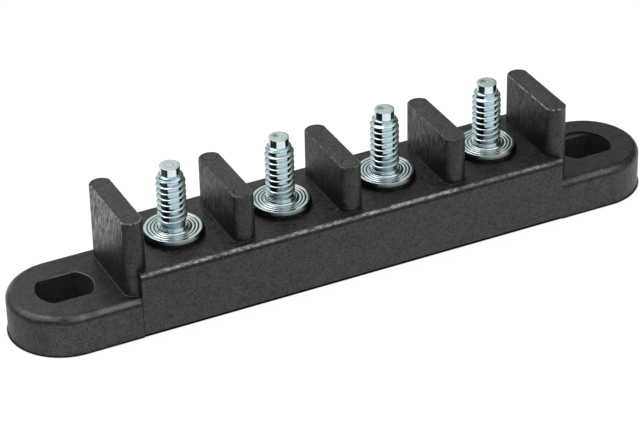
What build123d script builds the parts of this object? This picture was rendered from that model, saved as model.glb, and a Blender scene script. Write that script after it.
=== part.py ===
from build123d import *
import os
from math import cos, radians, tan

# A four stud terminal block that lies on its mounting ears.
# X runs along the block, Y across it and Z up. The origin is in the middle of the footprint, at the
# level that the two ears stand on. All sizes are in millimetres and degrees.

# Row of studs
stud_count = 4
stud_pitch = 19.05            # from one stud's axis to the next

# Bar that carries the studs
bar_width = 18.6
bar_top = 11.55               # height of the bar's top face
bar_lift = 0.3                # the bar's underside clears the mounting surface by this much
bar_edge_radius = 1.0         # both long top edges

# Mounting ears
ear_length = 19.05            # from the bar's end face to the ear's round end
ear_width = 18.4
ear_top = 7.05                # height of the ear's top face
ear_edge_radius = 1.2
hole_from_bar = 9.525         # from the bar's end face to the middle of the mounting hole
hole_radius = 4.7             # the hole is this circle, cut by two flats
hole_flats = 7.1              # across the flats
ledge_depth = 0.4             # the far flat of the right hole starts this far below the ear's top

# Barriers between the terminals
barrier_top = 19.9            # height of the inner barriers' tops
end_barrier_top = 20.4        # the two end barriers are a little taller
barrier_length = 15.7         # across the bar, over the round ends
barrier_thickness = 3.6       # at the top
barrier_end_radius = 2.0      # in plan, more than half the thickness at the foot
barrier_draft = 0.75          # widening towards the foot, a side
barrier_bevel = 0.15          # along the top edges

# Low round seat that the bar has under each stud's flange
seat_radius = 4.9
seat_height = 0.3

# Threaded stud, 0.190 inch with 24 threads to the inch. The shank is as thick as the thread's crests.
thread_radius = 2.413
stud_height = 11.5            # from the flange's top to the tip
thread_start = 1.2            # above the flange's top
tip_radius = 1.63             # plain point above the thread
tip_length = 1.5
tip_chamfer = 0.12
lead_in_length = 1.2          # cone from the point to the thread's crests
collar_radius = 2.15          # plain stretch below the thread
step_radius = 2.45            # low step at the collar's foot
step_height = 0.5

# Flange, a flat disc with a bevelled upper edge
flange_radius = 5.1
flange_thickness = 0.9
flange_bevel = 0.4            # of the upper edge

# Anchor below the flange, moulded into the bar
neck_flats = 4.6              # narrow hexagon under the flange, across its flats
neck_length = 2.0
anchor_flats = 6.8            # wide hexagon below it, which holds the stud down
anchor_height = 3.0

# Sizes that follow from those above
bar_length = stud_count * stud_pitch
half_bar = bar_length / 2
hole_x = half_bar + hole_from_bar
flange_top = bar_top + seat_height + flange_thickness
flange_bottom = bar_top + seat_height
stud_places = [(i + 0.5) * stud_pitch - half_bar for i in range(stud_count)]
barrier_places = [i * stud_pitch - half_bar for i in range(stud_count + 1)]


def bar():
    """Plain bar with both long top edges rounded."""
    block = Pos(0, 0, bar_lift) * Box(
        bar_length, bar_width, bar_top - bar_lift, align=(Align.CENTER, Align.CENTER, Align.MIN)
    )
    top_edges = block.edges().filter_by(Axis.X).group_by(Axis.Z)[-1]
    return fillet(top_edges, bar_edge_radius)


def ear(side):
    """One mounting ear, round at its end and along its top edge. side is 1 or -1."""
    end_radius = ear_width / 2
    straight = ear_length - end_radius
    corners = [(0, -end_radius), (straight, -end_radius), (straight, end_radius), (0, end_radius)]
    outline = (
        Line(corners[0], corners[1])
        + ThreePointArc(corners[1], (ear_length, 0), corners[2])
        + Line(corners[2], corners[3])
        + Line(corners[3], corners[0])
    )
    block = extrude(make_face(outline), ear_top)
    rim = [e for e in block.edges().group_by(Axis.Z)[-1] if e.center().X > ear_edge_radius]
    block = Pos(half_bar, 0, 0) * fillet(rim, ear_edge_radius)
    return block if side > 0 else mirror(block, Plane.YZ)


def hole_circle(depth):
    """Round plug as deep as stated, measured down from the ear's top."""
    return Pos(0, 0, ear_top) * Cylinder(
        hole_radius, depth, align=(Align.CENTER, Align.CENTER, Align.MAX)
    )


def mounting_hole(side):
    """Cutter for a round hole with two flats. The right one also has a ledge along its far flat."""
    flats = Box(3 * hole_radius, hole_flats, 3 * ear_top)
    cutter = hole_circle(ear_top) & flats
    if side > 0:
        beyond_flat = Pos(0, hole_flats / 2 + hole_radius / 2, ear_top) * Box(
            3 * hole_radius, hole_radius, 2 * ledge_depth
        )
        cutter += hole_circle(ledge_depth) & beyond_flat
    return Pos(side * hole_x, 0, 0) * cutter


def barrier(x, foot, top):
    """Upright barrier with round ends, sides that widen towards its foot and bevelled top edges."""
    draft = tan(radians(barrier_draft))
    half = barrier_thickness / 2
    bevel_foot = top - barrier_bevel
    slope = [
        (half + (top - foot) * draft, foot),
        (half + barrier_bevel * draft, bevel_foot),
        (half - barrier_bevel, top),
    ]
    mirrored = [(-out, height) for out, height in reversed(slope)]
    slab = extrude(Plane.XZ * make_face(Polyline(*slope, *mirrored, close=True)), barrier_length, both=True)
    end_y = barrier_length / 2 - barrier_end_radius
    end_section = [
        (0, foot),
        (barrier_end_radius, foot),
        (barrier_end_radius, bevel_foot),
        (barrier_end_radius - barrier_bevel, top),
        (0, top),
    ]
    round_end = revolve(Plane.XZ * make_face(Polyline(*end_section, close=True)), Axis.Z)
    plan = Pos(0, 0, foot) * Box(
        2 * barrier_length, 2 * end_y, top - foot, align=(Align.CENTER, Align.CENTER, Align.MIN)
    )
    for y in (-end_y, end_y):
        plan += Pos(0, y, 0) * round_end
    return Pos(x, 0, 0) * (slab & plan)


def seat(x):
    """Low round seat under one stud's flange."""
    return Pos(x, 0, bar_top) * Cylinder(
        seat_radius, seat_height, align=(Align.CENTER, Align.CENTER, Align.MIN)
    )


def hexagon(flats, top, length):
    """Hexagonal bar that hangs down from the stated height."""
    return Pos(0, 0, top) * extrude(RegularPolygon(flats / 2 / cos(radians(30)), 6), -length)


def anchor(x):
    """Narrow and wide hexagon below a stud's flange. The housing's pocket is cut with the same shape."""
    neck = hexagon(neck_flats, flange_bottom, neck_length)
    foot = hexagon(anchor_flats, flange_bottom - neck_length, anchor_height)
    return Pos(x, 0, 0) * (neck + foot)


def stud_profile():
    """Half section of the stud above the seat, with z counted from the flange's top."""
    tip = stud_height
    point_foot = tip - tip_length
    crest_end = point_foot - lead_in_length
    shank = [
        (0, tip),
        (tip_radius - tip_chamfer, tip),
        (tip_radius, tip - tip_chamfer),
        (tip_radius, point_foot),
        (thread_radius, crest_end),
        (thread_radius, thread_start),
        (collar_radius, thread_start),
        (collar_radius, step_height),
        (step_radius, step_height),
        (step_radius, 0),
    ]
    flange = [
        (flange_radius - flange_bevel, 0),
        (flange_radius, -flange_bevel),
        (flange_radius, -flange_thickness),
        (0, -flange_thickness),
    ]
    return Plane.XZ * make_face(Polyline(*shank, *flange, close=True))


def stud(x):
    """One stud: point, shank, collar, flange and the anchor below it."""
    body = Pos(x, 0, flange_top) * revolve(stud_profile(), Axis.Z)
    return (body + anchor(x)).solid()


def housing():
    """The whole moulding: bar, ears, barriers and seats, with the holes and the studs' pockets."""
    block = bar()
    for side in (-1, 1):
        block += ear(side)
    for x in barrier_places[1:-1]:
        block += barrier(x, bar_top, barrier_top)
    for x in (barrier_places[0], barrier_places[-1]):
        block += barrier(x, ear_top, end_barrier_top)
    for x in stud_places:
        block += seat(x)
        block -= anchor(x)
    for side in (-1, 1):
        block -= mounting_hole(side)
    return block.solid()


def main():
    os.makedirs("parts", exist_ok=True)
    export_step(housing(), "parts/housing.step")
    for number, x in enumerate(stud_places, start=1):
        export_step(stud(x), f"parts/stud_{number}.step")


main()
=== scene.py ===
"""Looks of a black moulded terminal block with four plated studs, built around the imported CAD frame."""

import math

import bmesh
import bpy
import numpy as np
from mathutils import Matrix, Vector

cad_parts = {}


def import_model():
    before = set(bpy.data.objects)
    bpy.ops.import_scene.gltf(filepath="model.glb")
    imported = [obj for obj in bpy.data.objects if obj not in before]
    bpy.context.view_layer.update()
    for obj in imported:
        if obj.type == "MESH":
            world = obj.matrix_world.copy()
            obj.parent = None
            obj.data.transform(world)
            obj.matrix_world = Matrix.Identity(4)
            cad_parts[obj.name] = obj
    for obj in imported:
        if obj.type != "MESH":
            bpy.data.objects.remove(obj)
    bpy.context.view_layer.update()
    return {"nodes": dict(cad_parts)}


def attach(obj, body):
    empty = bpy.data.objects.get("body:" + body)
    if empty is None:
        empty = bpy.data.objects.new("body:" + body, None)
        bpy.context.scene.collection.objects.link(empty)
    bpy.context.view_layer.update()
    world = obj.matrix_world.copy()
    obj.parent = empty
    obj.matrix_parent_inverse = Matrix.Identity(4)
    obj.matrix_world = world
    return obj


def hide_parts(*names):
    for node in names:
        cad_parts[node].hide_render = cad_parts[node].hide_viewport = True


MM = 0.001

# Sizes of the block in millimetres, as in the part's source
PITCH = 19.05
STUDS = 4
HALF_BAR = PITCH * STUDS / 2
BAR_HALF_WIDTH = 9.3
BAR_TOP = 11.55
BAR_LIFT = 0.3
EAR_LENGTH = 19.05
EAR_HALF_WIDTH = 9.2
EAR_TOP = 7.05
EAR_EDGE = 1.2
EAR_END_CENTRE = HALF_BAR + EAR_LENGTH - EAR_HALF_WIDTH
HOLE_X = HALF_BAR + 9.525
HOLE_RADIUS = 4.7
HOLE_FLATS = 7.1
LEDGE_DEPTH = 0.4
BARRIER_TOP = 19.9
END_BARRIER_TOP = 20.4
BARRIER_HALF_LENGTH = 7.85
BARRIER_HALF_THICKNESS = 1.8
BARRIER_END_RADIUS = 2.0
BARRIER_END_Y = BARRIER_HALF_LENGTH - BARRIER_END_RADIUS
BARRIER_DRAFT = math.tan(math.radians(0.75))
SEAT_RADIUS = 4.9
SEAT_TOP = BAR_TOP + 0.3
FLANGE_RADIUS = 5.1
FLANGE_THICKNESS = 0.9
FLANGE_TOP = SEAT_TOP + FLANGE_THICKNESS
NECK_FLATS = 4.6
NECK_LENGTH = 2.0
ANCHOR_FLATS = 6.8
ANCHOR_HEIGHT = 3.0
STUD_HEIGHT = 11.5
STEP_RADIUS = 2.45
THREAD_START = 1.2
CREST_RADIUS = 2.413

# Edges, thread and plain stretches, which are finer here than in the source
BAR_EDGE = 0.8
BROKEN_EDGE = 0.15
BARRIER_EDGE = 0.16
BARRIER_END_DRAFT = 0.004
FOOT_FILLET = 0.12
HOLE_RIM = 0.12
SEAT_RIM = 0.06
THREAD_PITCH = 25.4 / 24
ROOT_RADIUS = 1.98
COLLAR_RADIUS = 1.98
STEP_TOP = 0.80
TIP_RADIUS = 1.65
POINT_FOOT = 10.05
LEAD_IN = 1.1
RUN_OUT = 0.3
FLANGE_LIFT = 0.10
GROOVES = (4.15, 3.58, 3.03)
GROOVE_DEPTH = 0.06
GROOVE_SPREAD = 0.11
CREASE = 2.52

# How far solids reach into each other before they are joined
OVERLAP = 0.02

# Angles in degrees beyond which an edge is shaded as sharp
SHARP_ON_HOUSING = 32
SHARP_ON_STUDS = 48

# How many points a stud's rows have, and where the rows lie on one turn of the thread
COLUMNS = 96
PHASES = (0.0, 0.13, 0.27, 0.34, 0.41, 0.44, 0.47, 0.50, 0.53, 0.56, 0.60, 0.65, 0.72, 0.80, 0.90)

# Each stud's turn about its axis in radians, and how deep the ring in its tip is
STUD_TURNS = (2.61, 1.32, 4.56, 5.31)
TIP_DENTS = (0.016, 0.012, 0.010, 0.012)

# Dents along the bar's edges
DENT_SEED = 4
DENT_DEPTH = 0.075
EDGE_WEAR = 0.02

# How strongly the sides of each barrier carry drag marks and painted sheen, from left to right
SIDE_MARKS_AND_SHEEN = (1.0, 0.29, 0.09, 0.30, 0.14)

# Rings that ejector pins left on the barriers' tops
PIN_MARK_Y = 6.2
PIN_MARK_RADIUS = 1.25

# Colours of the moulding and its marks, and of the highlights, sheen and light painted on it
PLASTIC = {
    "dark": (0.002, 0.002, 0.002, 1),
    "plain": (0.0115, 0.0117, 0.0113, 1),
    "mottled": (0.0210, 0.0212, 0.0206, 1),
    "flow_line": (0.036, 0.036, 0.035, 1),
    # Drag marks on the barriers' sides, brightened as painted sheen that fades towards the bottom front
    "drag_marks_and_sheen": (0.500, 0.500, 0.488, 1),
    "scratched": (0.060, 0.061, 0.059, 1),
    "scuffed": (0.080, 0.080, 0.077, 1),
    # Painted highlights on the ears' rounded edges, at the left ear's end and along the sides
    "ear_end_highlight": (0.125, 0.126, 0.123, 1),
    "ear_side_highlight": (0.240, 0.242, 0.235, 1),
    # Painted highlight along the bar's rounded edges, over light wear
    "highlight_and_rubbing": (0.860, 0.862, 0.840, 1),
    "rim": (0.420, 0.420, 0.405, 1),
    # Painted light on the holes' walls
    "hole_painted_light": (0.056, 0.058, 0.056, 1),
    "dust": (0.200, 0.204, 0.198, 1),
    "shine_on_tops": (1.0, 0.96, 0.91, 1),
    "shine_on_sides": (0.95, 1.0, 0.98, 1),
}

# Colours of the zinc plate and its marks, and of the shade and reflection painted on it
ZINC = {
    "bluish": (0.60, 0.69, 0.71, 1),
    "pale": (0.74, 0.80, 0.79, 1),
    # Painted shade on the thread's steep faces, darker and bluer
    "flank": (0.46, 0.60, 0.66, 1),
    # Painted shade in the thread's roots, darker and bluer
    "root": (0.38, 0.52, 0.59, 1),
    "pressed": (0.25, 0.30, 0.30, 1),
    "stain": (0.24, 0.22, 0.12, 1),
    # Painted reflection: an olive tint on each stud's right side
    "olive": (0.34, 0.32, 0.22, 1),
    # Painted shade on the flange's bevel and rim side, darker outwards
    "bevel_inside": (0.23, 0.25, 0.24, 1),
    "bevel_outside": (0.09, 0.10, 0.09, 1),
    # Painted shade in the flange's rolled rings and the crease round the step
    "groove": (0.05, 0.06, 0.06, 1),
}

# Colours of the room that the plating mirrors
ROOM = {
    "front": (0.22, 0.28, 0.31, 1),
    "back_left": (0.78, 0.84, 0.84, 1),
    "back_right": (0.20, 0.24, 0.25, 1),
    "skirting": (0.14, 0.16, 0.17, 1),
    "ceiling_left": (0.90, 0.96, 1.0, 1),
    "ceiling_right": (0.50, 0.54, 0.55, 1),
    "card": (1.15, 1.18, 1.16, 1),
}
CARD_DIRECTION = (0.34, -0.73, 0.59)

# Colours of the light that falls on the block from all round, of the floor, and of the contact shadow painted
# on it
FILL_LIGHT = (0.45, 0.45, 0.45, 1)
WHITE = (1, 1, 1, 1)
FLOOR_GREY = (0.26, 0.26, 0.26, 1)
CONTACT_SHADOW_GREY = (0.03, 0.03, 0.03, 1)

# Direction in plan along which the plating on the studs changes
ASIDE_X, ASIDE_Y = 0.905, -0.427

# Area lamps: name, place and size in metres, and power in watts
LAMPS = (
    ("overhead_softbox", (-0.17, 0.28, 0.80), (0.66, 0.60), 2.6),
    ("left_softbox", (-0.75, 0.1, 0.40), (0.7, 0.5), 0.6),
)
LAMP_AIM = (0, 0, 0.01)

# Camera, from a fit to points read off the photograph. Angles in degrees, lengths in millimetres.
AZIMUTH, ELEVATION, ROLL = -25.2531, 31.4179, -1.5015
AIM = (0, 0, 7.62)
AIM_RIGHT, AIM_UP = -2.2716, -0.4479
DISTANCE = 448.753
SENSOR_WIDTH = 36.0
FOCAL_PIXELS = 2722.0
IMAGE_WIDTH = 640

stud_places = [(i + 0.5) * PITCH - HALF_BAR for i in range(STUDS)]
barrier_places = [i * PITCH - HALF_BAR for i in range(STUDS + 1)]


# Mesh helpers

def smoothstep(t):
    t = np.clip(t, 0, 1)
    return t * t * (3 - 2 * t)


def arc(centre, radius, start, end, count):
    """Points on a circle's arc, from one angle in degrees to the other."""
    angles = np.radians(np.linspace(start, end, count))
    return [(centre[0] + radius * math.cos(a), centre[1] + radius * math.sin(a)) for a in angles]


def circle(x, radius, count):
    """Points all round a circle in plan."""
    return arc((x, 0), radius, 0, 360 - 360 / count, count)


def at_height(outline, z):
    """An outline's points at one height."""
    return [(x, y, z) for x, y in outline]


def new_object(name, vertices, faces):
    """A mesh object from points in millimetres."""
    mesh = bpy.data.meshes.new(name)
    mesh.from_pydata([tuple(v) for v in np.asarray(vertices, float) * MM], [], faces)
    mesh.validate()
    piece = bpy.data.objects.new(name, mesh)
    bpy.context.scene.collection.objects.link(piece)
    return piece


def stack(name, rings):
    """A closed solid from rings that have as many points each, from the first end to the last."""
    count = len(rings[0])
    vertices = [p for ring in rings for p in ring]
    faces = [tuple(reversed(range(count)))]
    for n in range(len(rings) - 1):
        low, high = n * count, (n + 1) * count
        for i in range(count):
            j = (i + 1) % count
            faces.append((low + i, low + j, high + j, high + i))
    last = (len(rings) - 1) * count
    faces.append(tuple(range(last, last + count)))
    return new_object(name, vertices, faces)


def evaluated_mesh(piece):
    """The piece's mesh with its modifiers applied."""
    graph = bpy.context.evaluated_depsgraph_get()
    return bpy.data.meshes.new_from_object(piece.evaluated_get(graph))


def combine(piece, other, operation):
    """Applies a boolean of the two and removes the other one."""
    modifier = piece.modifiers.new("boolean", "BOOLEAN")
    modifier.operation = operation
    modifier.solver = "MANIFOLD"
    modifier.object = other
    mesh = evaluated_mesh(piece)
    piece.modifiers.clear()
    piece.data = mesh
    bpy.data.objects.remove(other)
    return piece


def shade(piece, degrees):
    """Smooth shading with sharp edges kept, and flat faces that stay flat beside small rounds."""
    mesh = piece.data
    mesh.polygons.foreach_set("use_smooth", [True] * len(mesh.polygons))
    mesh.set_sharp_from_angle(angle=math.radians(degrees))
    modifier = piece.modifiers.new("weighted", "WEIGHTED_NORMAL")
    modifier.keep_sharp = True
    modifier.weight = 100
    piece.data = evaluated_mesh(piece)
    piece.modifiers.clear()


def merge_close(piece):
    """Merges points that coincide, so that rows which end on one circle close up."""
    work = bmesh.new()
    work.from_mesh(piece.data)
    bmesh.ops.remove_doubles(work, verts=work.verts, dist=1e-7)
    bmesh.ops.recalc_face_normals(work, faces=work.faces)
    work.to_mesh(piece.data)
    work.free()


# Housing, as one moulding

def bar_solid():
    """The long bar. Its rounded top edges are worn down in small dents, and bulge outwards there by as much as
    they are lowered. Its lower edges are barely broken."""
    w, r = BAR_HALF_WIDTH, BAR_EDGE
    right = [(w - BROKEN_EDGE, BAR_LIFT), (w, BAR_LIFT + BROKEN_EDGE)]
    right += arc((w - r, BAR_TOP - r), r, 0, 90, 9)
    section = right + [(-y, z) for y, z in reversed(right)]
    xs = np.linspace(-HALF_BAR, HALF_BAR, 160)
    draws = np.random.default_rng(DENT_SEED).normal(0, 1, (2, len(xs)))
    dents = [np.convolve(row, [0.25, 0.5, 0.25], "same") for row in draws]
    rings = []
    for n, x in enumerate(xs):
        ring = []
        for y, z in section:
            near = max(0.0, 1 - math.hypot(abs(y) - (w - 0.3 * r), z - (BAR_TOP - 0.3 * r)) / r)
            push = DENT_DEPTH * near * dents[0 if y < 0 else 1][n]
            push = min(push, 0.0) - EDGE_WEAR * near
            ring.append((x, y + math.copysign(push, y), z + push))
        rings.append(ring)
    return stack("bar", rings)


def ear_outline(side, inset):
    """Half stadium in plan, drawn in by the inset, that starts inside the bar."""
    r = EAR_HALF_WIDTH - inset
    straight = np.linspace(HALF_BAR - OVERLAP, EAR_END_CENTRE, 14)[:-1]
    points = [(x, -r) for x in straight]
    points += arc((EAR_END_CENTRE, 0), r, -90, 90, 73)
    points += [(x, r) for x in straight[::-1]]
    if side < 0:
        points = [(-x, y) for x, y in reversed(points)]
    return points


def ear_solid(side):
    """Mounting ear with a rounded top edge and a slightly broken lower one. side is 1 or -1."""
    r = EAR_EDGE
    levels = [(0.12, 0.0), (0.0, 0.12)] + arc((r, EAR_TOP - r), r, 180, 90, 10)
    return stack("ear", [at_height(ear_outline(side, inset), z) for inset, z in levels])


def barrier_outline(half, end_radius, inset):
    """Plan of a barrier: two flat sides and two round ends whose arcs meet the sides at a slight angle."""
    r = end_radius - inset
    h = min(half - inset, r - 0.001)
    turn = math.degrees(math.asin(h / r))
    back = arc((0, BARRIER_END_Y), r, 90 - turn, 90 + turn, 25)
    front = arc((0, -BARRIER_END_Y), r, 270 - turn, 270 + turn, 25)
    return back + front


def barrier_solid(x, foot, barrier_top):
    """Barrier with draft on all sides, a small round along its top and a fillet at its foot."""
    f, e = FOOT_FILLET, BARRIER_EDGE
    levels = arc((f, foot + f - OVERLAP), f, 270, 190, 5) + [(0.0, foot + f + 0.15)]
    levels += arc((-e, barrier_top - e), e, 0, 90, 5)
    rings = []
    for out, z in levels:
        half = BARRIER_HALF_THICKNESS + (barrier_top - z) * BARRIER_DRAFT
        end_radius = BARRIER_END_RADIUS + (barrier_top - z) * BARRIER_END_DRAFT
        rings.append([(x + px, py, z) for px, py in barrier_outline(half, end_radius, -out)])
    return stack("barrier", rings)


def seat_solid(x):
    """Low round seat under one stud's flange."""
    levels = [
        (SEAT_RADIUS, BAR_TOP - 0.5),
        (SEAT_RADIUS, SEAT_TOP - SEAT_RIM),
        (SEAT_RADIUS - SEAT_RIM, SEAT_TOP),
    ]
    return stack("seat", [at_height(circle(x, r, 96), z) for r, z in levels])


def hole_outline(grow):
    """Circle cut by two flats."""
    r, h = HOLE_RADIUS + grow, HOLE_FLATS / 2 + grow
    turn = math.degrees(math.asin(h / r))
    return arc((0, 0), r, -turn, turn, 17) + arc((0, 0), r, 180 - turn, 180 + turn, 17)


def hole_cutter(side):
    """The mounting hole with slightly broken rims."""
    levels = [
        (0.3, -0.1),
        (0.0, 0.2),
        (0.0, EAR_TOP - HOLE_RIM),
        (HOLE_RIM, EAR_TOP),
        (HOLE_RIM + 1.0, EAR_TOP + 1.0),
    ]
    rings = [[(side * HOLE_X + px, py, z) for px, py in hole_outline(grow)] for grow, z in levels]
    return stack("hole", rings)


def ledge_cutter():
    """Shallow step along the right hole's far flat."""
    turn = math.degrees(math.asin((HOLE_FLATS / 2 - 0.05) / HOLE_RADIUS))
    outline = arc((HOLE_X, 0), HOLE_RADIUS, turn, 180 - turn, 41)
    return stack("ledge", [at_height(outline, z) for z in (EAR_TOP - LEDGE_DEPTH, EAR_TOP + 0.5)])


def hexagon(x, flats, top, length):
    """Hexagonal bar that hangs down from the stated height."""
    outline = circle(x, flats / 2 / math.cos(math.radians(30)), 6)
    return [at_height(outline, top - length), at_height(outline, top)]


def anchor_solid(x, overlap):
    """Narrow and wide hexagon below a stud. Its top reaches past the seat by the overlap."""
    neck = stack("neck", hexagon(x, NECK_FLATS, SEAT_TOP + overlap, NECK_LENGTH + overlap + 0.01))
    foot = stack("foot", hexagon(x, ANCHOR_FLATS, SEAT_TOP - NECK_LENGTH, ANCHOR_HEIGHT))
    return combine(neck, foot, "UNION")


def housing_piece():
    """The whole moulding: bar, ears, barriers and seats, with the holes and the studs' pockets."""
    piece = bar_solid()
    for side in (-1, 1):
        combine(piece, ear_solid(side), "UNION")
    for x in barrier_places[1:-1]:
        combine(piece, barrier_solid(x, BAR_TOP, BARRIER_TOP), "UNION")
    for x in (barrier_places[0], barrier_places[-1]):
        combine(piece, barrier_solid(x, EAR_TOP, END_BARRIER_TOP), "UNION")
    for x in stud_places:
        combine(piece, seat_solid(x), "UNION")
        combine(piece, anchor_solid(x, 0.5), "DIFFERENCE")
    for side in (-1, 1):
        combine(piece, hole_cutter(side), "DIFFERENCE")
    combine(piece, ledge_cutter(), "DIFFERENCE")
    piece.name = "moulding"
    shade(piece, SHARP_ON_HOUSING)
    return piece


# Studs

def stud_profile_below():
    """Half section from the flange's underside to the collar's top: radius, and height above the flange."""
    top = FLANGE_LIFT
    rows = [(4.93, -FLANGE_THICKNESS), (4.95, -0.74), (FLANGE_RADIUS, -0.66)]
    rows += arc((FLANGE_RADIUS - 0.10, top - 0.56), 0.10, 0, 33, 4) + arc((4.68, top - 0.12), 0.12, 33, 90, 6)
    for r in np.linspace(4.64, 2.86, 64):
        dips = sum(math.exp(-(((r - groove) / GROOVE_SPREAD) ** 2)) for groove in GROOVES)
        rows.append((r, top - GROOVE_DEPTH * dips))
    low_ring = [(2.82, 0.01), (2.79, 0.05), (2.75, 0.13), (2.69, 0.17), (2.60, 0.17), (CREASE, 0.12)]
    step_foot = [(STEP_RADIUS + 0.02, 0.16), (STEP_RADIUS, 0.24)]
    rows += [(r, top + z) for r, z in low_ring + step_foot]
    rows += [(STEP_RADIUS, STEP_TOP)] + arc((STEP_RADIUS - 0.06, STEP_TOP), 0.06, 20, 80, 4)
    rows += [(2.20, STEP_TOP + 0.07), (COLLAR_RADIUS, STEP_TOP + 0.11)]
    return rows


def stud_profile_above(dent):
    """Half section of the plain point above the thread, which has a slight lip and a pressed ring."""
    top = STUD_HEIGHT
    return [
        (TIP_RADIUS, POINT_FOOT + 0.06),
        (TIP_RADIUS, top - 0.22),
        (TIP_RADIUS + 0.03, top - 0.08),
        (TIP_RADIUS + 0.02, top - 0.02),
        (TIP_RADIUS - 0.05, top),
        (0.92, top - 0.005),
        (0.82, top - dent),
        (0.74, top - 1.1 * dent),
        (0.62, top - 0.3 * dent),
        (0.50, top - 0.2 * dent),
        (0.30, top - 0.2 * dent),
    ]


def thread_row(turns_up, phase, angles):
    """Radius and height of one row of the thread at each angle. It follows the helix between its two ends."""
    half_crest = 0.03
    flank = 0.27 if phase > 0.5 else 0.20
    climb = min(max((half_crest + flank - abs(phase - 0.5)) / flank, 0), 1)
    ridge = 1.143 * climb if climb < 0.75 else 1 - 2.286 * (1 - climb) ** 2
    z = THREAD_START + THREAD_PITCH * (turns_up + phase - 1 + angles / (2 * math.pi))
    z = np.clip(z, THREAD_START, POINT_FOOT)
    below_point = POINT_FOOT - z
    low = TIP_RADIUS + (ROOT_RADIUS - TIP_RADIUS) * smoothstep(below_point / 0.15)
    high = TIP_RADIUS + (CREST_RADIUS - TIP_RADIUS) * np.clip(below_point / LEAD_IN, 0, 1) ** 0.4
    r = low + (high - low) * ridge
    return COLLAR_RADIUS + (r - COLLAR_RADIUS) * smoothstep((z - THREAD_START) / RUN_OUT), z


def stud_piece(number, x, turn, dent):
    """One stud as a single mesh, with its thread as a true helix and its anchor below the flange."""
    angles = np.linspace(0, 2 * math.pi, COLUMNS, endpoint=False)
    turns = math.ceil((POINT_FOOT - THREAD_START) / THREAD_PITCH) + 1
    rows = [(np.full(COLUMNS, r), np.full(COLUMNS, z)) for r, z in stud_profile_below()]
    first = len(rows)
    rows += [thread_row(n, phase, angles) for n in range(turns) for phase in PHASES]
    last = len(rows) - 1
    rows += [(np.full(COLUMNS, r), np.full(COLUMNS, z)) for r, z in stud_profile_above(dent)]

    vertices = []
    for radii, heights in rows:
        for r, h, a in zip(radii, heights, angles + turn):
            vertices.append((x + r * math.cos(a), r * math.sin(a), FLANGE_TOP + h))
    # Where a row of the thread has gone once round, it joins the row one turn further up
    faces = [tuple(reversed(range(COLUMNS)))]
    for n in range(len(rows) - 1):
        for i in range(COLUMNS):
            j = (i + 1) % COLUMNS
            rows_up = len(PHASES) if j == 0 and first <= n < last else 0
            if rows_up == 0 or n + 1 + rows_up <= last:
                low, climb = n * COLUMNS, rows_up * COLUMNS
                high = low + COLUMNS
                faces.append((low + i, low + climb + j, high + climb + j, high + i))
    top = (len(rows) - 1) * COLUMNS
    faces.append(tuple(range(top, top + COLUMNS)))
    piece = new_object(f"plated_stud_{number}", vertices, faces)
    merge_close(piece)
    combine(piece, anchor_solid(x, 0.3), "UNION")
    shade(piece, SHARP_ON_STUDS)
    return piece


# Materials

class Nodes:
    """Adds nodes to one node tree and links them. A value is a number, a colour or another node's socket."""

    def __init__(self, tree):
        self.tree = tree

    def feed(self, socket, value):
        if isinstance(value, bpy.types.NodeSocket):
            self.tree.links.new(value, socket)
        else:
            socket.default_value = value

    def add(self, kind, settings=None, **inputs):
        node = self.tree.nodes.new(kind)
        for key, value in (settings or {}).items():
            setattr(node, key, value)
        for key, value in inputs.items():
            self.feed(node.inputs[key.replace("_", " ")], value)
        return node

    def split(self, vector):
        return list(self.add("ShaderNodeSeparateXYZ", Vector=vector).outputs)

    def math(self, operation, *values):
        node = self.add("ShaderNodeMath", {"operation": operation})
        for socket, value in zip(node.inputs, values):
            self.feed(socket, value)
        return node.outputs[0]

    def fold(self, operation, first, *others):
        for other in others:
            first = self.math(operation, first, other)
        return first

    def product(self, *factors):
        return self.fold("MULTIPLY", *factors)

    def total(self, *terms):
        return self.fold("ADD", *terms)

    def largest(self, *values):
        return self.fold("MAXIMUM", *values)

    def minus(self, a, b):
        return self.math("SUBTRACT", a, b)

    def divide(self, a, b):
        return self.math("DIVIDE", a, b)

    def line(self, value, slope, start):
        """start plus slope times the value."""
        return self.math("MULTIPLY_ADD", value, slope, start)

    def size(self, value):
        return self.math("ABSOLUTE", value)

    def length(self, a, b):
        """Length of the vector whose two parts are a and b."""
        return self.math("SQRT", self.total(self.product(a, a), self.product(b, b)))

    def ramp(self, value, low, high, start=0.0, end=1.0):
        """Takes a value between low and high smoothly to a range from start to end."""
        node = self.add("ShaderNodeMapRange", {"interpolation_type": "SMOOTHSTEP"}, Value=value)
        for key, number in zip(("From Min", "From Max", "To Min", "To Max"), (low, high, start, end)):
            node.inputs[key].default_value = number
        return node.outputs[0]

    def ramp_mm(self, length, low, high, start=0.0, end=1.0):
        """The same for a length in metres, with low and high in millimetres."""
        return self.ramp(length, low * MM, high * MM, start, end)

    def band(self, length, middle, half, soft):
        """1 where a length in metres is within half of middle, both in millimetres, with soft borders."""
        return self.ramp_mm(self.size(self.minus(length, middle * MM)), half, half + soft, 1.0, 0.0)

    def mix(self, factor, a, b):
        node = self.add("ShaderNodeMix", {"data_type": "RGBA"})
        for number, value in ((0, factor), (6, a), (7, b)):
            self.feed(node.inputs[number], value)
        return node.outputs[2]

    def paint(self, colour, layers):
        """Lays colours over the first one. A layer is a mask, the part of it that counts and a colour."""
        for mask, share, over in layers:
            colour = self.mix(self.product(mask, share), colour, over)
        return colour

    def light_path(self):
        """1 for what the camera sees itself, and 1 for what the camera, mirrors and glass see."""
        path = self.add("ShaderNodeLightPath")
        rays = [path.outputs[name] for name in ("Is Camera Ray", "Is Glossy Ray", "Is Transmission Ray")]
        return rays[0], self.largest(*rays)


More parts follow.
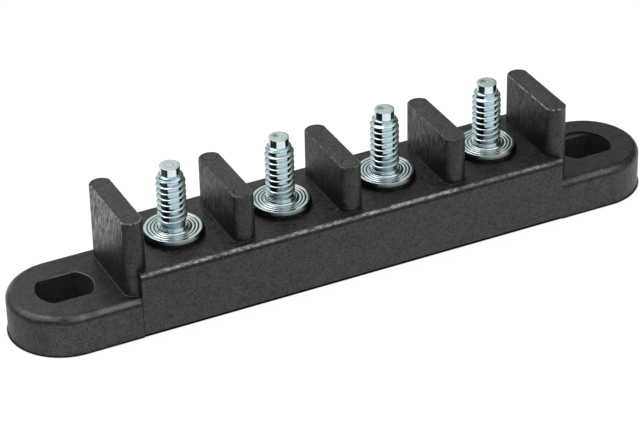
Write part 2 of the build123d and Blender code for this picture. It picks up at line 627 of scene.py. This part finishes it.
class Surface(Nodes):
    """Nodes of one material, with the object's own x, y and z and the parts of its normal."""

    def __init__(self, name):
        self.material = bpy.data.materials.new(name)
        self.material.use_nodes = True
        super().__init__(self.material.node_tree)
        self.shader = self.tree.nodes["Principled BSDF"]
        self.place = self.add("ShaderNodeTexCoord").outputs["Object"]
        self.x, self.y, self.z = self.split(self.place)
        normal = self.add("ShaderNodeNewGeometry").outputs["Normal"]
        self.normal_x, self.normal_y, self.normal_z = self.split(normal)

    def set(self, **inputs):
        """Sets or links inputs of the shader."""
        for key, value in inputs.items():
            self.feed(self.shader.inputs[key.replace("_", " ")], value)

    def scaled_place(self, size, stretch, shift):
        """The object's coordinates, counted in size millimetres along each axis times its stretch."""
        scale = [1 / (MM * size * s) for s in stretch]
        return self.add("ShaderNodeMapping", Vector=self.place, Scale=scale, Location=shift).outputs[0]

    def noise(self, size, detail=3.0, stretch=(1, 1, 1), seed=0.0, rough=0.5):
        """Noise whose features are about size millimetres across, stretched along an axis by a factor."""
        place = self.scaled_place(size, stretch, (seed, seed * 1.7, seed * 0.6))
        node = self.add("ShaderNodeTexNoise", Vector=place, Scale=1.0, Detail=detail, Roughness=rough)
        return node.outputs[0]

    def specks(self, size, share, seed, smallest, largest):
        """Small round specks, size millimetres apart. share is the part of the cells that have one, and the
        radii are parts of a cell."""
        place = self.scaled_place(size, (1, 1, 1), (seed, seed, seed))
        cells = self.add("ShaderNodeTexVoronoi", Vector=place, Scale=1.0)
        picked = self.add("ShaderNodeSeparateColor", Color=cells.outputs["Color"])
        present = self.math("LESS_THAN", picked.outputs[0], share)
        radius = self.line(picked.outputs[1], largest - smallest, smallest)
        return self.product(present, self.math("LESS_THAN", cells.outputs["Distance"], radius))

    def relief(self, layers):
        """Bumps laid over each other. A layer is a height from 0 to 1 and its depth in millimetres."""
        normal = None
        for height, depth in layers:
            node = self.add("ShaderNodeBump", Height=height, Distance=depth * MM, Strength=1.0)
            if normal is not None:
                self.feed(node.inputs["Normal"], normal)
            normal = node.outputs[0]
        return normal

    def from_nearest(self, half_row):
        """x counted from the nearest place in a row. half_row is half the row's length in pitches."""
        shifted = self.total(self.x, half_row * PITCH * MM)
        return self.minus(self.math("MODULO", shifted, PITCH * MM), PITCH / 2 * MM)


class Moulding(Surface):
    """Satin black moulded plastic with worn edges, drag marks on the barriers, dust and small pits, with
    painted highlights on the rounded edges, painted sheen on the barriers' sides and painted light in the
    holes.
    """

    def __init__(self):
        super().__init__("moulding_satin_black")
        self.along, self.across = self.size(self.x), self.size(self.y)
        self.grain = self.noise(0.26, rough=0.75)
        self.mottle = self.noise(0.62, seed=2, rough=0.65)
        self.blotches = self.noise(1.3, seed=27, rough=0.6)
        self.clouds = self.noise(2.6, seed=3)
        self.on_side = self.ramp(self.size(self.normal_x), 0.9, 0.99)
        self.tilted = self.ramp(self.size(self.minus(self.normal_z, 0.66)), 0.12, 0.34, 1.0, 0.0)
        self.level = self.ramp(self.normal_z, 0.97, 0.995)
        self.rim, self.rings, self.below_top = self.barrier_marks()
        self.streaks = self.noise(0.30, detail=4, stretch=(1, 1, 6), seed=11, rough=0.75)
        slanted = self.ramp_mm(self.line(self.z, 1.48, self.y), 15, 26)
        self.above_bar = self.product(slanted, self.ramp_mm(self.z, EAR_TOP, EAR_TOP + 2.0))
        self.share = self.barrier_share()
        streaked = self.ramp(self.streaks, 0.46, 0.58)
        # Drag marks with painted sheen on the barriers' sides, fading towards the bottom front
        self.drag_marks_and_sheen = self.product(self.on_side, self.above_bar, streaked, self.share)
        large_dots = self.specks(1.1, share=0.14, seed=2.0, smallest=0.07, largest=0.15)
        small_dots = self.specks(0.6, share=0.10, seed=5.0, smallest=0.10, largest=0.20)
        self.dots = self.largest(large_dots, small_dots)
        self.set(
            Base_Color=self.colour(),
            Roughness=self.roughness(),
            Specular_IOR_Level=self.gloss(),
            Specular_Tint=self.mix(self.level, PLASTIC["shine_on_sides"], PLASTIC["shine_on_tops"]),
            IOR=1.5,
            Normal=self.pits(),
        )

    def barrier_marks(self):
        """The barriers' worn top edges, the ejector pins' rings on their tops, and the depth below a top."""
        x = self.from_nearest((STUDS + 1) / 2)
        past_flat = self.largest(self.minus(self.across, BARRIER_END_Y * MM), 0.0)
        reach = self.minus(self.length(x, past_flat), (BARRIER_END_RADIUS - BARRIER_HALF_THICKNESS) * MM)
        edge = self.largest(self.size(x), reach)
        at_end = self.math("GREATER_THAN", self.along, 1.5 * PITCH * MM)
        top = self.line(at_end, (END_BARRIER_TOP - BARRIER_TOP) * MM, BARRIER_TOP * MM)
        below = self.minus(top, self.z)
        rim = self.product(
            self.ramp_mm(edge, BARRIER_HALF_THICKNESS - 0.22, BARRIER_HALF_THICKNESS - 0.06),
            self.ramp_mm(below, 0.14, 0.26, 1.0, 0.0),
            self.line(at_end, 0.60, 0.40),
            self.ramp(self.mottle, 0.40, 0.60),
        )
        away = self.length(x, self.minus(self.across, PIN_MARK_Y * MM))
        rings = self.product(
            self.band(away, PIN_MARK_RADIUS, 0.04, 0.10),
            self.ramp_mm(below, 0.02, 0.05, 1.0, 0.0),
            self.ramp(self.clouds, 0.36, 0.56, 0.25, 1.0),
            self.ramp(self.blotches, 0.42, 0.56, 0.20, 1.0),
        )
        return rim, rings, below

    def barrier_share(self):
        """How strongly the barrier at this x carries drag marks and painted sheen."""
        count = len(SIDE_MARKS_AND_SHEEN)
        node = self.add("ShaderNodeValToRGB", Fac=self.total(self.divide(self.x, count * PITCH * MM), 0.5))
        ramp = node.color_ramp
        ramp.interpolation = "CONSTANT"
        for i, share in enumerate(SIDE_MARKS_AND_SHEEN):
            stop = ramp.elements[0] if i == 0 else ramp.elements.new(i / count)
            stop.position = i / count
            stop.color = (share, share, share, 1)
        ramp.elements[-1].color = (SIDE_MARKS_AND_SHEEN[-1], SIDE_MARKS_AND_SHEEN[-1], SIDE_MARKS_AND_SHEEN[-1], 1)
        return node.outputs[0]

    def bar_edge_highlight_and_wear(self):
        """Painted highlight along the bar's rounded edges, in dashes and dimmer to the right, over light wear.
        """
        dashes = self.noise(0.42, detail=4, stretch=(2.2, 1, 1), seed=41, rough=0.75)
        rises = self.noise(3.4, detail=2, seed=45)
        return self.product(
            self.tilted,
            self.ramp_mm(self.across, 8.4, 8.7),
            self.ramp_mm(self.z, 10.5, 10.8),
            self.ramp_mm(self.z, 11.7, 11.9, 1.0, 0.0),
            self.ramp_mm(self.x, 5, 38, 1.0, 0.55),
            self.ramp_mm(self.x, -28, -18, 1.0, 0.84),
            self.ramp(dashes, 0.40, 0.60, 0.12, 1.0),
            self.ramp(rises, 0.38, 0.60, 0.42, 1.0),
        )

    def painted_ear_highlights(self):
        """Painted highlights on the ears' rounded edges: one at the left ear's end, and a lighter one along
        the sides.
        """
        edge = self.band(self.z, EAR_TOP - 0.35, 0.45, 0.25)
        edge = self.product(edge, self.ramp(self.clouds, 0.30, 0.66, 0.35, 1.0))
        ear_end_highlight = self.product(
            edge,
            self.ramp(self.normal_z, 0.40, 0.72),
            self.ramp_mm(self.x, -53, -50, 1.0, 0.0),
            self.ramp_mm(self.across, 1, 5, 0.12, 1.0),
            self.ramp(self.normal_z, 0.975, 0.999, 1.0, 0.0),
        )
        straight = self.product(
            edge,
            self.ramp_mm(self.along, 48, 51, 1.0, 0.0),
            self.tilted,
            self.ramp(self.grain, 0.30, 0.62, 0.55, 1.0),
        )
        return ear_end_highlight, straight

    def hole_walls_painted_light(self):
        """The walls of the mounting holes below their rims, which get painted light."""
        reach = self.length(self.minus(self.along, HOLE_X * MM), self.y)
        return self.product(
            self.ramp_mm(reach, HOLE_RADIUS + 0.10, HOLE_RADIUS + 0.15, 1.0, 0.0),
            self.ramp_mm(self.z, EAR_TOP - 0.6, EAR_TOP - 0.1, 1.0, 0.0),
        )

    def colour(self):
        flow = self.noise(0.30, detail=2, stretch=(9, 1, 1), seed=21, rough=0.6)
        flow = self.product(self.ramp(flow, 0.45, 0.70), self.level)
        scratches = self.noise(0.22, detail=2, stretch=(11, 1, 2), seed=33, rough=0.6)
        scratches = self.product(
            self.ramp(scratches, 0.64, 0.72),
            self.ramp(self.blotches, 0.42, 0.56),
            self.minus(1.0, self.on_side),
        )
        scuffed = self.product(
            self.on_side,
            self.ramp_mm(self.below_top, 0.5, 3.2, 1.0, 0.0),
            self.ramp(self.grain, 0.46, 0.66),
            self.ramp(self.clouds, 0.42, 0.60),
        )
        ear_end_highlight, straight = self.painted_ear_highlights()
        dust = self.product(self.dots, self.ramp(self.clouds, 0.38, 0.60))
        plain = self.mix(self.ramp(self.grain, 0.30, 0.76), PLASTIC["dark"], PLASTIC["plain"])
        return self.paint(plain, [
            (self.ramp(self.mottle, 0.46, 0.72), 0.6, PLASTIC["mottled"]),
            (flow, 0.7, PLASTIC["flow_line"]),
            # drag marks with painted sheen
            (self.drag_marks_and_sheen, 0.9, PLASTIC["drag_marks_and_sheen"]),
            (scratches, 0.7, PLASTIC["scratched"]),
            (scuffed, 0.7, PLASTIC["scuffed"]),
            # painted highlights on the ears' rounded edges
            (ear_end_highlight, 0.8, PLASTIC["ear_end_highlight"]),
            (straight, 0.9, PLASTIC["ear_side_highlight"]),
            # painted highlight along the bar's rounded edges, over light wear
            (self.bar_edge_highlight_and_wear(), 1.0, PLASTIC["highlight_and_rubbing"]),
            (self.rim, 0.9, PLASTIC["rim"]),
            (self.rings, 0.4, PLASTIC["dark"]),
            # painted light on the holes' walls
            (self.hole_walls_painted_light(), self.ramp(self.grain, 0.30, 0.76, 0.4, 1.0), PLASTIC["hole_painted_light"]),
            (dust, 0.8, PLASTIC["dust"]),
        ])

    def roughness(self):
        low_edges = self.product(self.tilted, self.ramp_mm(self.z, 12.0, 12.2, 1.0, 0.0))
        return self.line(low_edges, -0.18, self.ramp(self.mottle, 0.30, 0.72, 0.36, 0.54))

    def gloss(self):
        """Strength of the reflections: mottled, drawn out on the barriers' sides and weaker in corners."""
        gloss = self.total(
            self.ramp(self.mottle, 0.30, 0.70, 0.32, 0.52),
            self.ramp(self.blotches, 0.32, 0.68, 0.08, 0.17),
            self.ramp(self.grain, 0.30, 0.70, -0.26, 0.29),
        )
        drawn = self.product(self.share, self.line(self.above_bar, 0.75, 0.25))
        side_gloss = self.line(self.product(self.ramp(self.streaks, 0.42, 0.58), drawn), 1.05, 0.25)
        gloss = self.line(self.on_side, self.minus(side_gloss, gloss), gloss)
        ahead = self.ramp(self.normal_y, -0.9, -0.7, 1.0, 0.0)
        ahead = self.product(ahead, self.ramp_mm(self.x, -60, -38, 0.44, 0.12))
        return self.product(
            gloss,
            self.line(self.level, 0.30, 1.0),
            self.total(ahead, 1.0),
            self.minus(1.0, self.shaded_lines()),
            self.line(self.rings, -0.5, 1.0),
            self.minus(1.0, self.shaded_tops()),
        )

    def shaded_lines(self):
        """Dark lines below the ears' and the bar's rounded edges."""
        ears = self.product(self.band(self.z, EAR_TOP - EAR_EDGE + 0.12, 0.16, 0.16), 0.38)
        ears = self.product(ears, self.math("GREATER_THAN", self.along, (HALF_BAR + 0.02) * MM))
        bar = self.product(self.band(self.z, BAR_TOP - 0.90, 0.14, 0.14), 0.60)
        return self.product(self.largest(ears, bar), self.ramp_mm(self.across, 8.4, 8.7, 0.5, 1.0))

    def shaded_tops(self):
        """How much darker the bar's and the ears' tops are, most at the right and beside the left barrier."""
        beside_bar = self.product(
            self.ramp_mm(self.x, -55, -41, 0.05, 0.26),
            self.ramp_mm(self.z, EAR_TOP, EAR_TOP + 0.5, 1.0, 0.0),
            self.math("LESS_THAN", self.x, 0.0),
        )
        return self.product(
            self.ramp(self.normal_z, 0.86, 0.99),
            self.ramp_mm(self.z, 12.0, 13.0, 1.0, 0.0),
            self.total(self.ramp_mm(self.x, -60, 45, 0.20, 0.45), beside_bar),
        )

    def pits(self):
        large = self.noise(9.0, detail=2, seed=7)
        return self.relief([
            (large, 0.40),
            (self.clouds, 0.10),
            (self.blotches, 0.03),
            (self.mottle, 0.05),
            (self.grain, 0.035),
            (self.drag_marks_and_sheen, 0.015),
            (self.rings, -0.10),
            (self.dots, 0.03),
        ])


class Zinc(Surface):
    """Bright zinc plate, slightly blue, with faint blotches and olive stains, with painted shade in the rings,
    the crease, the thread's roots and steep faces and on the flange's bevel, and a painted reflection on each
    stud's right side.
    """

    def __init__(self):
        super().__init__("bright_zinc_plate")
        self.clouds = self.noise(0.9, seed=4)
        self.fine = self.noise(0.14, seed=9)
        self.from_axis = self.from_nearest(STUDS / 2)
        self.out = self.length(self.from_axis, self.y)
        self.up = self.minus(self.z, FLANGE_TOP * MM)
        self.bevel = self.ramp_mm(self.out, 4.70, 4.80)
        self.set(
            Base_Color=self.colour(),
            Metallic=1.0,
            Roughness=self.roughness(),
            Normal=self.relief([(self.clouds, 0.010), (self.fine, 0.003)]),
        )

    def grooves(self):
        """Painted shade in the rolled rings in the flange's top, fainter in front, and in the crease round the
        step.
        """
        rolled = self.largest(*[self.band(self.out, groove, 0.05, 0.10) for groove in GROOVES])
        front = self.line(self.from_axis, ASIDE_Y, self.product(self.y, -ASIDE_X))
        rolled = self.product(
            rolled,
            self.band(self.up, FLANGE_LIFT - 0.03, 0.09, 0.02),
            self.ramp(self.divide(front, self.out), 0.55, 0.95, 1.0, 0.35),
        )
        crease = self.product(self.band(self.out, CREASE, 0.04, 0.05), self.band(self.up, 0.20, 0.14, 0.02))
        return self.largest(rolled, crease)

    def tip_marks(self):
        """The stain on the tips of three studs, and the pressed ring on the tip of the left one."""
        tip = self.ramp_mm(self.up, STUD_HEIGHT - 0.3, STUD_HEIGHT - 0.05)
        from_stain = self.length(self.minus(self.from_axis, -0.5 * MM), self.minus(self.y, 0.57 * MM))
        stained = self.product(
            tip,
            self.ramp_mm(from_stain, 0.25, 0.95, 1.0, 0.0),
            self.ramp_mm(self.x, -20, -18),
        )
        pressed = self.product(
            tip,
            self.band(self.out, 0.72, 0.05, 0.10),
            self.ramp(self.fine, 0.35, 0.55, 0.4, 1.0),
            self.ramp_mm(self.x, -20, -18, 1.0, 0.0),
        )
        return stained, pressed

    def colour(self):
        stains = self.noise(0.45, seed=31)
        stained, pressed = self.tip_marks()
        # Painted shade on the thread's steep faces
        flank_shade = self.product(
            self.ramp(self.size(self.normal_z), 0.25, 0.45, 1.0, 0.0),
            self.band(self.up, (THREAD_START + POINT_FOOT) / 2, (POINT_FOOT - THREAD_START) / 2, 0.05),
        )
        # Painted shade in the thread's roots
        root = self.product(
            self.ramp_mm(self.out, ROOT_RADIUS + 0.04, ROOT_RADIUS + 0.24, 1.0, 0.0),
            self.ramp_mm(self.up, POINT_FOOT, POINT_FOOT + 0.05, 1.0, 0.0),
        )
        # Painted reflection of the barrier on each stud's right side, as an olive tint
        reflection_at_right = self.product(
            self.ramp(self.divide(self.from_axis, self.out), 0.32, 0.76),
            self.ramp_mm(self.out, 1.7, 1.8),
            self.ramp_mm(self.up, 0.7, 1.3),
        )
        # Painted shade on the flange's bevel and rim side, darker outwards
        worn = self.mix(self.ramp_mm(self.out, 4.80, 5.08), ZINC["bevel_inside"], ZINC["bevel_outside"])
        plain = self.mix(self.ramp(self.clouds, 0.3, 0.7), ZINC["bluish"], ZINC["pale"])
        return self.paint(plain, [
            # painted shade on the thread's steep faces
            (flank_shade, self.ramp_mm(self.x, -20, 12, 0.75, 1.0), ZINC["flank"]),
            # painted shade in the thread's roots
            (root, self.ramp(self.clouds, 0.3, 0.7, 1.0, 0.7), ZINC["root"]),
            (pressed, 0.45, ZINC["pressed"]),
            (stained, self.ramp(stains, 0.40, 0.56, 0.0, 0.95), ZINC["stain"]),
            # painted reflection on each stud's right side
            (reflection_at_right, self.ramp(self.clouds, 0.35, 0.60, 0.50, 1.0), ZINC["olive"]),
            # painted shade on the flange's bevel and rim side
            (self.bevel, 1.0, worn),
            # painted shade in the rolled rings and the crease
            (self.grooves(), 0.94, ZINC["groove"]),
        ])

    def roughness(self):
        """Smooth, but duller in the lower grooves on one side, on the collar and on the flange's bevel."""
        aside = self.line(self.from_axis, ASIDE_X, self.product(self.y, ASIDE_Y))
        aside = self.ramp(self.divide(aside, self.out), -0.40, -0.10)
        low_groove = self.product(self.ramp_mm(self.up, 2.3, 4.2, 1.0, 0.0), aside)
        collar = self.product(self.ramp_mm(self.up, 1.3, 1.6, 1.0, 0.0), 0.55)
        shank = self.product(self.ramp_mm(self.up, 0.85, 0.95), self.ramp_mm(self.out, 2.6, 2.7, 1.0, 0.0))
        dull_shank = self.product(self.largest(low_groove, collar), shank)
        dull = self.largest(dull_shank, self.product(self.bevel, 0.5))
        return self.line(dull, 0.30, self.ramp(self.clouds, 0.3, 0.7, 0.08, 0.14))


# Floor, room, lamps and camera

def floor_piece():
    """Pale floor. Its glow, which only the camera and mirrors see, stops just outside the block's outline,
    where a thin dark line is painted as the block's contact shadow. Mirrors see less of it behind the block."""
    bpy.ops.mesh.primitive_plane_add(size=6)
    floor = bpy.context.object
    floor.name = "floor"
    m = Surface("pale_floor")
    camera_ray, seen = m.light_path()
    along = m.size(m.x)
    beyond = m.largest(m.minus(along, EAR_END_CENTRE * MM), 0.0)
    away = m.minus(m.length(beyond, m.y), m.ramp_mm(along, 38.0, 38.3, 0.0, 0.15 * MM))
    open_floor = m.ramp_mm(away, 9.15, 9.40)
    # Painted contact shadow: a thin dark band just outside the block's outline
    contact = m.product(m.ramp_mm(away, 8.5, 8.9), m.minus(1.0, open_floor))
    mirrored = m.product(
        m.ramp_mm(m.y, -20, 20, 0.93, 0.78),
        m.ramp_mm(m.y, -66, -40, 0.25, 1.0),
        m.ramp_mm(m.x, -90, -60, 0.30, 1.0),
    )
    glow = m.largest(m.product(camera_ray, 0.90), m.product(seen, mirrored))
    m.set(
        Base_Color=m.mix(contact, FLOOR_GREY, CONTACT_SHADOW_GREY),
        Roughness=0.9,
        Specular_IOR_Level=0.0,
        Emission_Color=WHITE,
        Emission_Strength=m.product(glow, open_floor),
    )
    floor.data.materials.append(m.material)


def white_room():
    """World that the camera sees as white. Mirrors see a dim front, a wall behind that is pale on the left, a
    white ceiling and a card."""
    world = bpy.data.worlds.new("white_room")
    bpy.context.scene.world = world
    world.use_nodes = True
    m = Nodes(world.node_tree)
    camera_ray, seen = m.light_path()
    direction = m.add("ShaderNodeTexCoord").outputs["Generated"]
    x, y, z = m.split(direction)
    facing_card = m.add("ShaderNodeVectorMath", {"operation": "DOT_PRODUCT"})
    m.feed(facing_card.inputs[0], direction)
    m.feed(facing_card.inputs[1], CARD_DIRECTION)
    back_wall = m.mix(m.ramp(x, 0.30, 0.62), ROOM["back_left"], ROOM["back_right"])
    back_wall = m.mix(m.ramp(z, 0.0, 0.30), ROOM["skirting"], back_wall)
    ceiling = m.mix(m.ramp(x, 0.0, 0.5), ROOM["ceiling_left"], ROOM["ceiling_right"])
    mirrored = m.mix(m.ramp(y, -0.5, 0.05), ROOM["front"], back_wall)
    mirrored = m.mix(m.ramp(z, 0.50, 0.80), mirrored, ceiling)
    mirrored = m.mix(m.ramp(facing_card.outputs["Value"], 0.71, 0.92), mirrored, ROOM["card"])
    lit = m.mix(seen, FILL_LIGHT, mirrored)
    m.feed(m.tree.nodes["Background"].inputs["Color"], m.mix(camera_ray, lit, WHITE))


def area_lamp(name, place, size, power):
    data = bpy.data.lights.new(name, "AREA")
    data.shape = "RECTANGLE"
    data.size, data.size_y = size
    data.energy = power
    lamp = bpy.data.objects.new(name, data)
    bpy.context.scene.collection.objects.link(lamp)
    lamp.location = place
    lamp.rotation_euler = (Vector(LAMP_AIM) - Vector(place)).to_track_quat("-Z", "Y").to_euler()


def camera():
    """The photograph's view."""
    azimuth, elevation, roll = (math.radians(a) for a in (AZIMUTH, ELEVATION, ROLL))
    level = math.cos(elevation)
    back = Vector((math.sin(azimuth) * level, -math.cos(azimuth) * level, math.sin(elevation)))
    level_right = Vector((0, 0, 1)).cross(back).normalized()
    level_up = back.cross(level_right)
    right = math.cos(roll) * level_right + math.sin(roll) * level_up
    up = back.cross(right)
    target = Vector(AIM) + right * AIM_RIGHT + up * AIM_UP
    data = bpy.data.cameras.new("camera")
    data.sensor_width = SENSOR_WIDTH
    data.lens = SENSOR_WIDTH * FOCAL_PIXELS / IMAGE_WIDTH
    view = bpy.data.objects.new("camera", data)
    bpy.context.scene.collection.objects.link(view)
    turn = view.matrix_world.copy()
    for column, vector in enumerate((right, up, back, (target + back * DISTANCE) * MM)):
        turn.col[column][:3] = vector
    view.matrix_world = turn
    bpy.context.scene.camera = view


def main():
    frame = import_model()
    plastic, zinc = Moulding().material, Zinc().material
    pieces = [(housing_piece(), "housing", "moulding", plastic)]
    for number, (x, turn, dent) in enumerate(zip(stud_places, STUD_TURNS, TIP_DENTS), start=1):
        pieces.append((stud_piece(number, x, turn, dent), f"stud_{number}", "plated_steel", zinc))
    for piece, node, slot, material in pieces:
        piece.data.materials.clear()
        piece.data.materials.append(material)
        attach(piece, "root")
        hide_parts(node)
        frame["nodes"][node].data.materials.clear()
        frame["nodes"][node].data.materials.append(material)
    floor_piece()
    white_room()
    for lamp in LAMPS:
        area_lamp(*lamp)
    camera()
    bpy.context.scene.view_settings.view_transform = "Standard"


main()
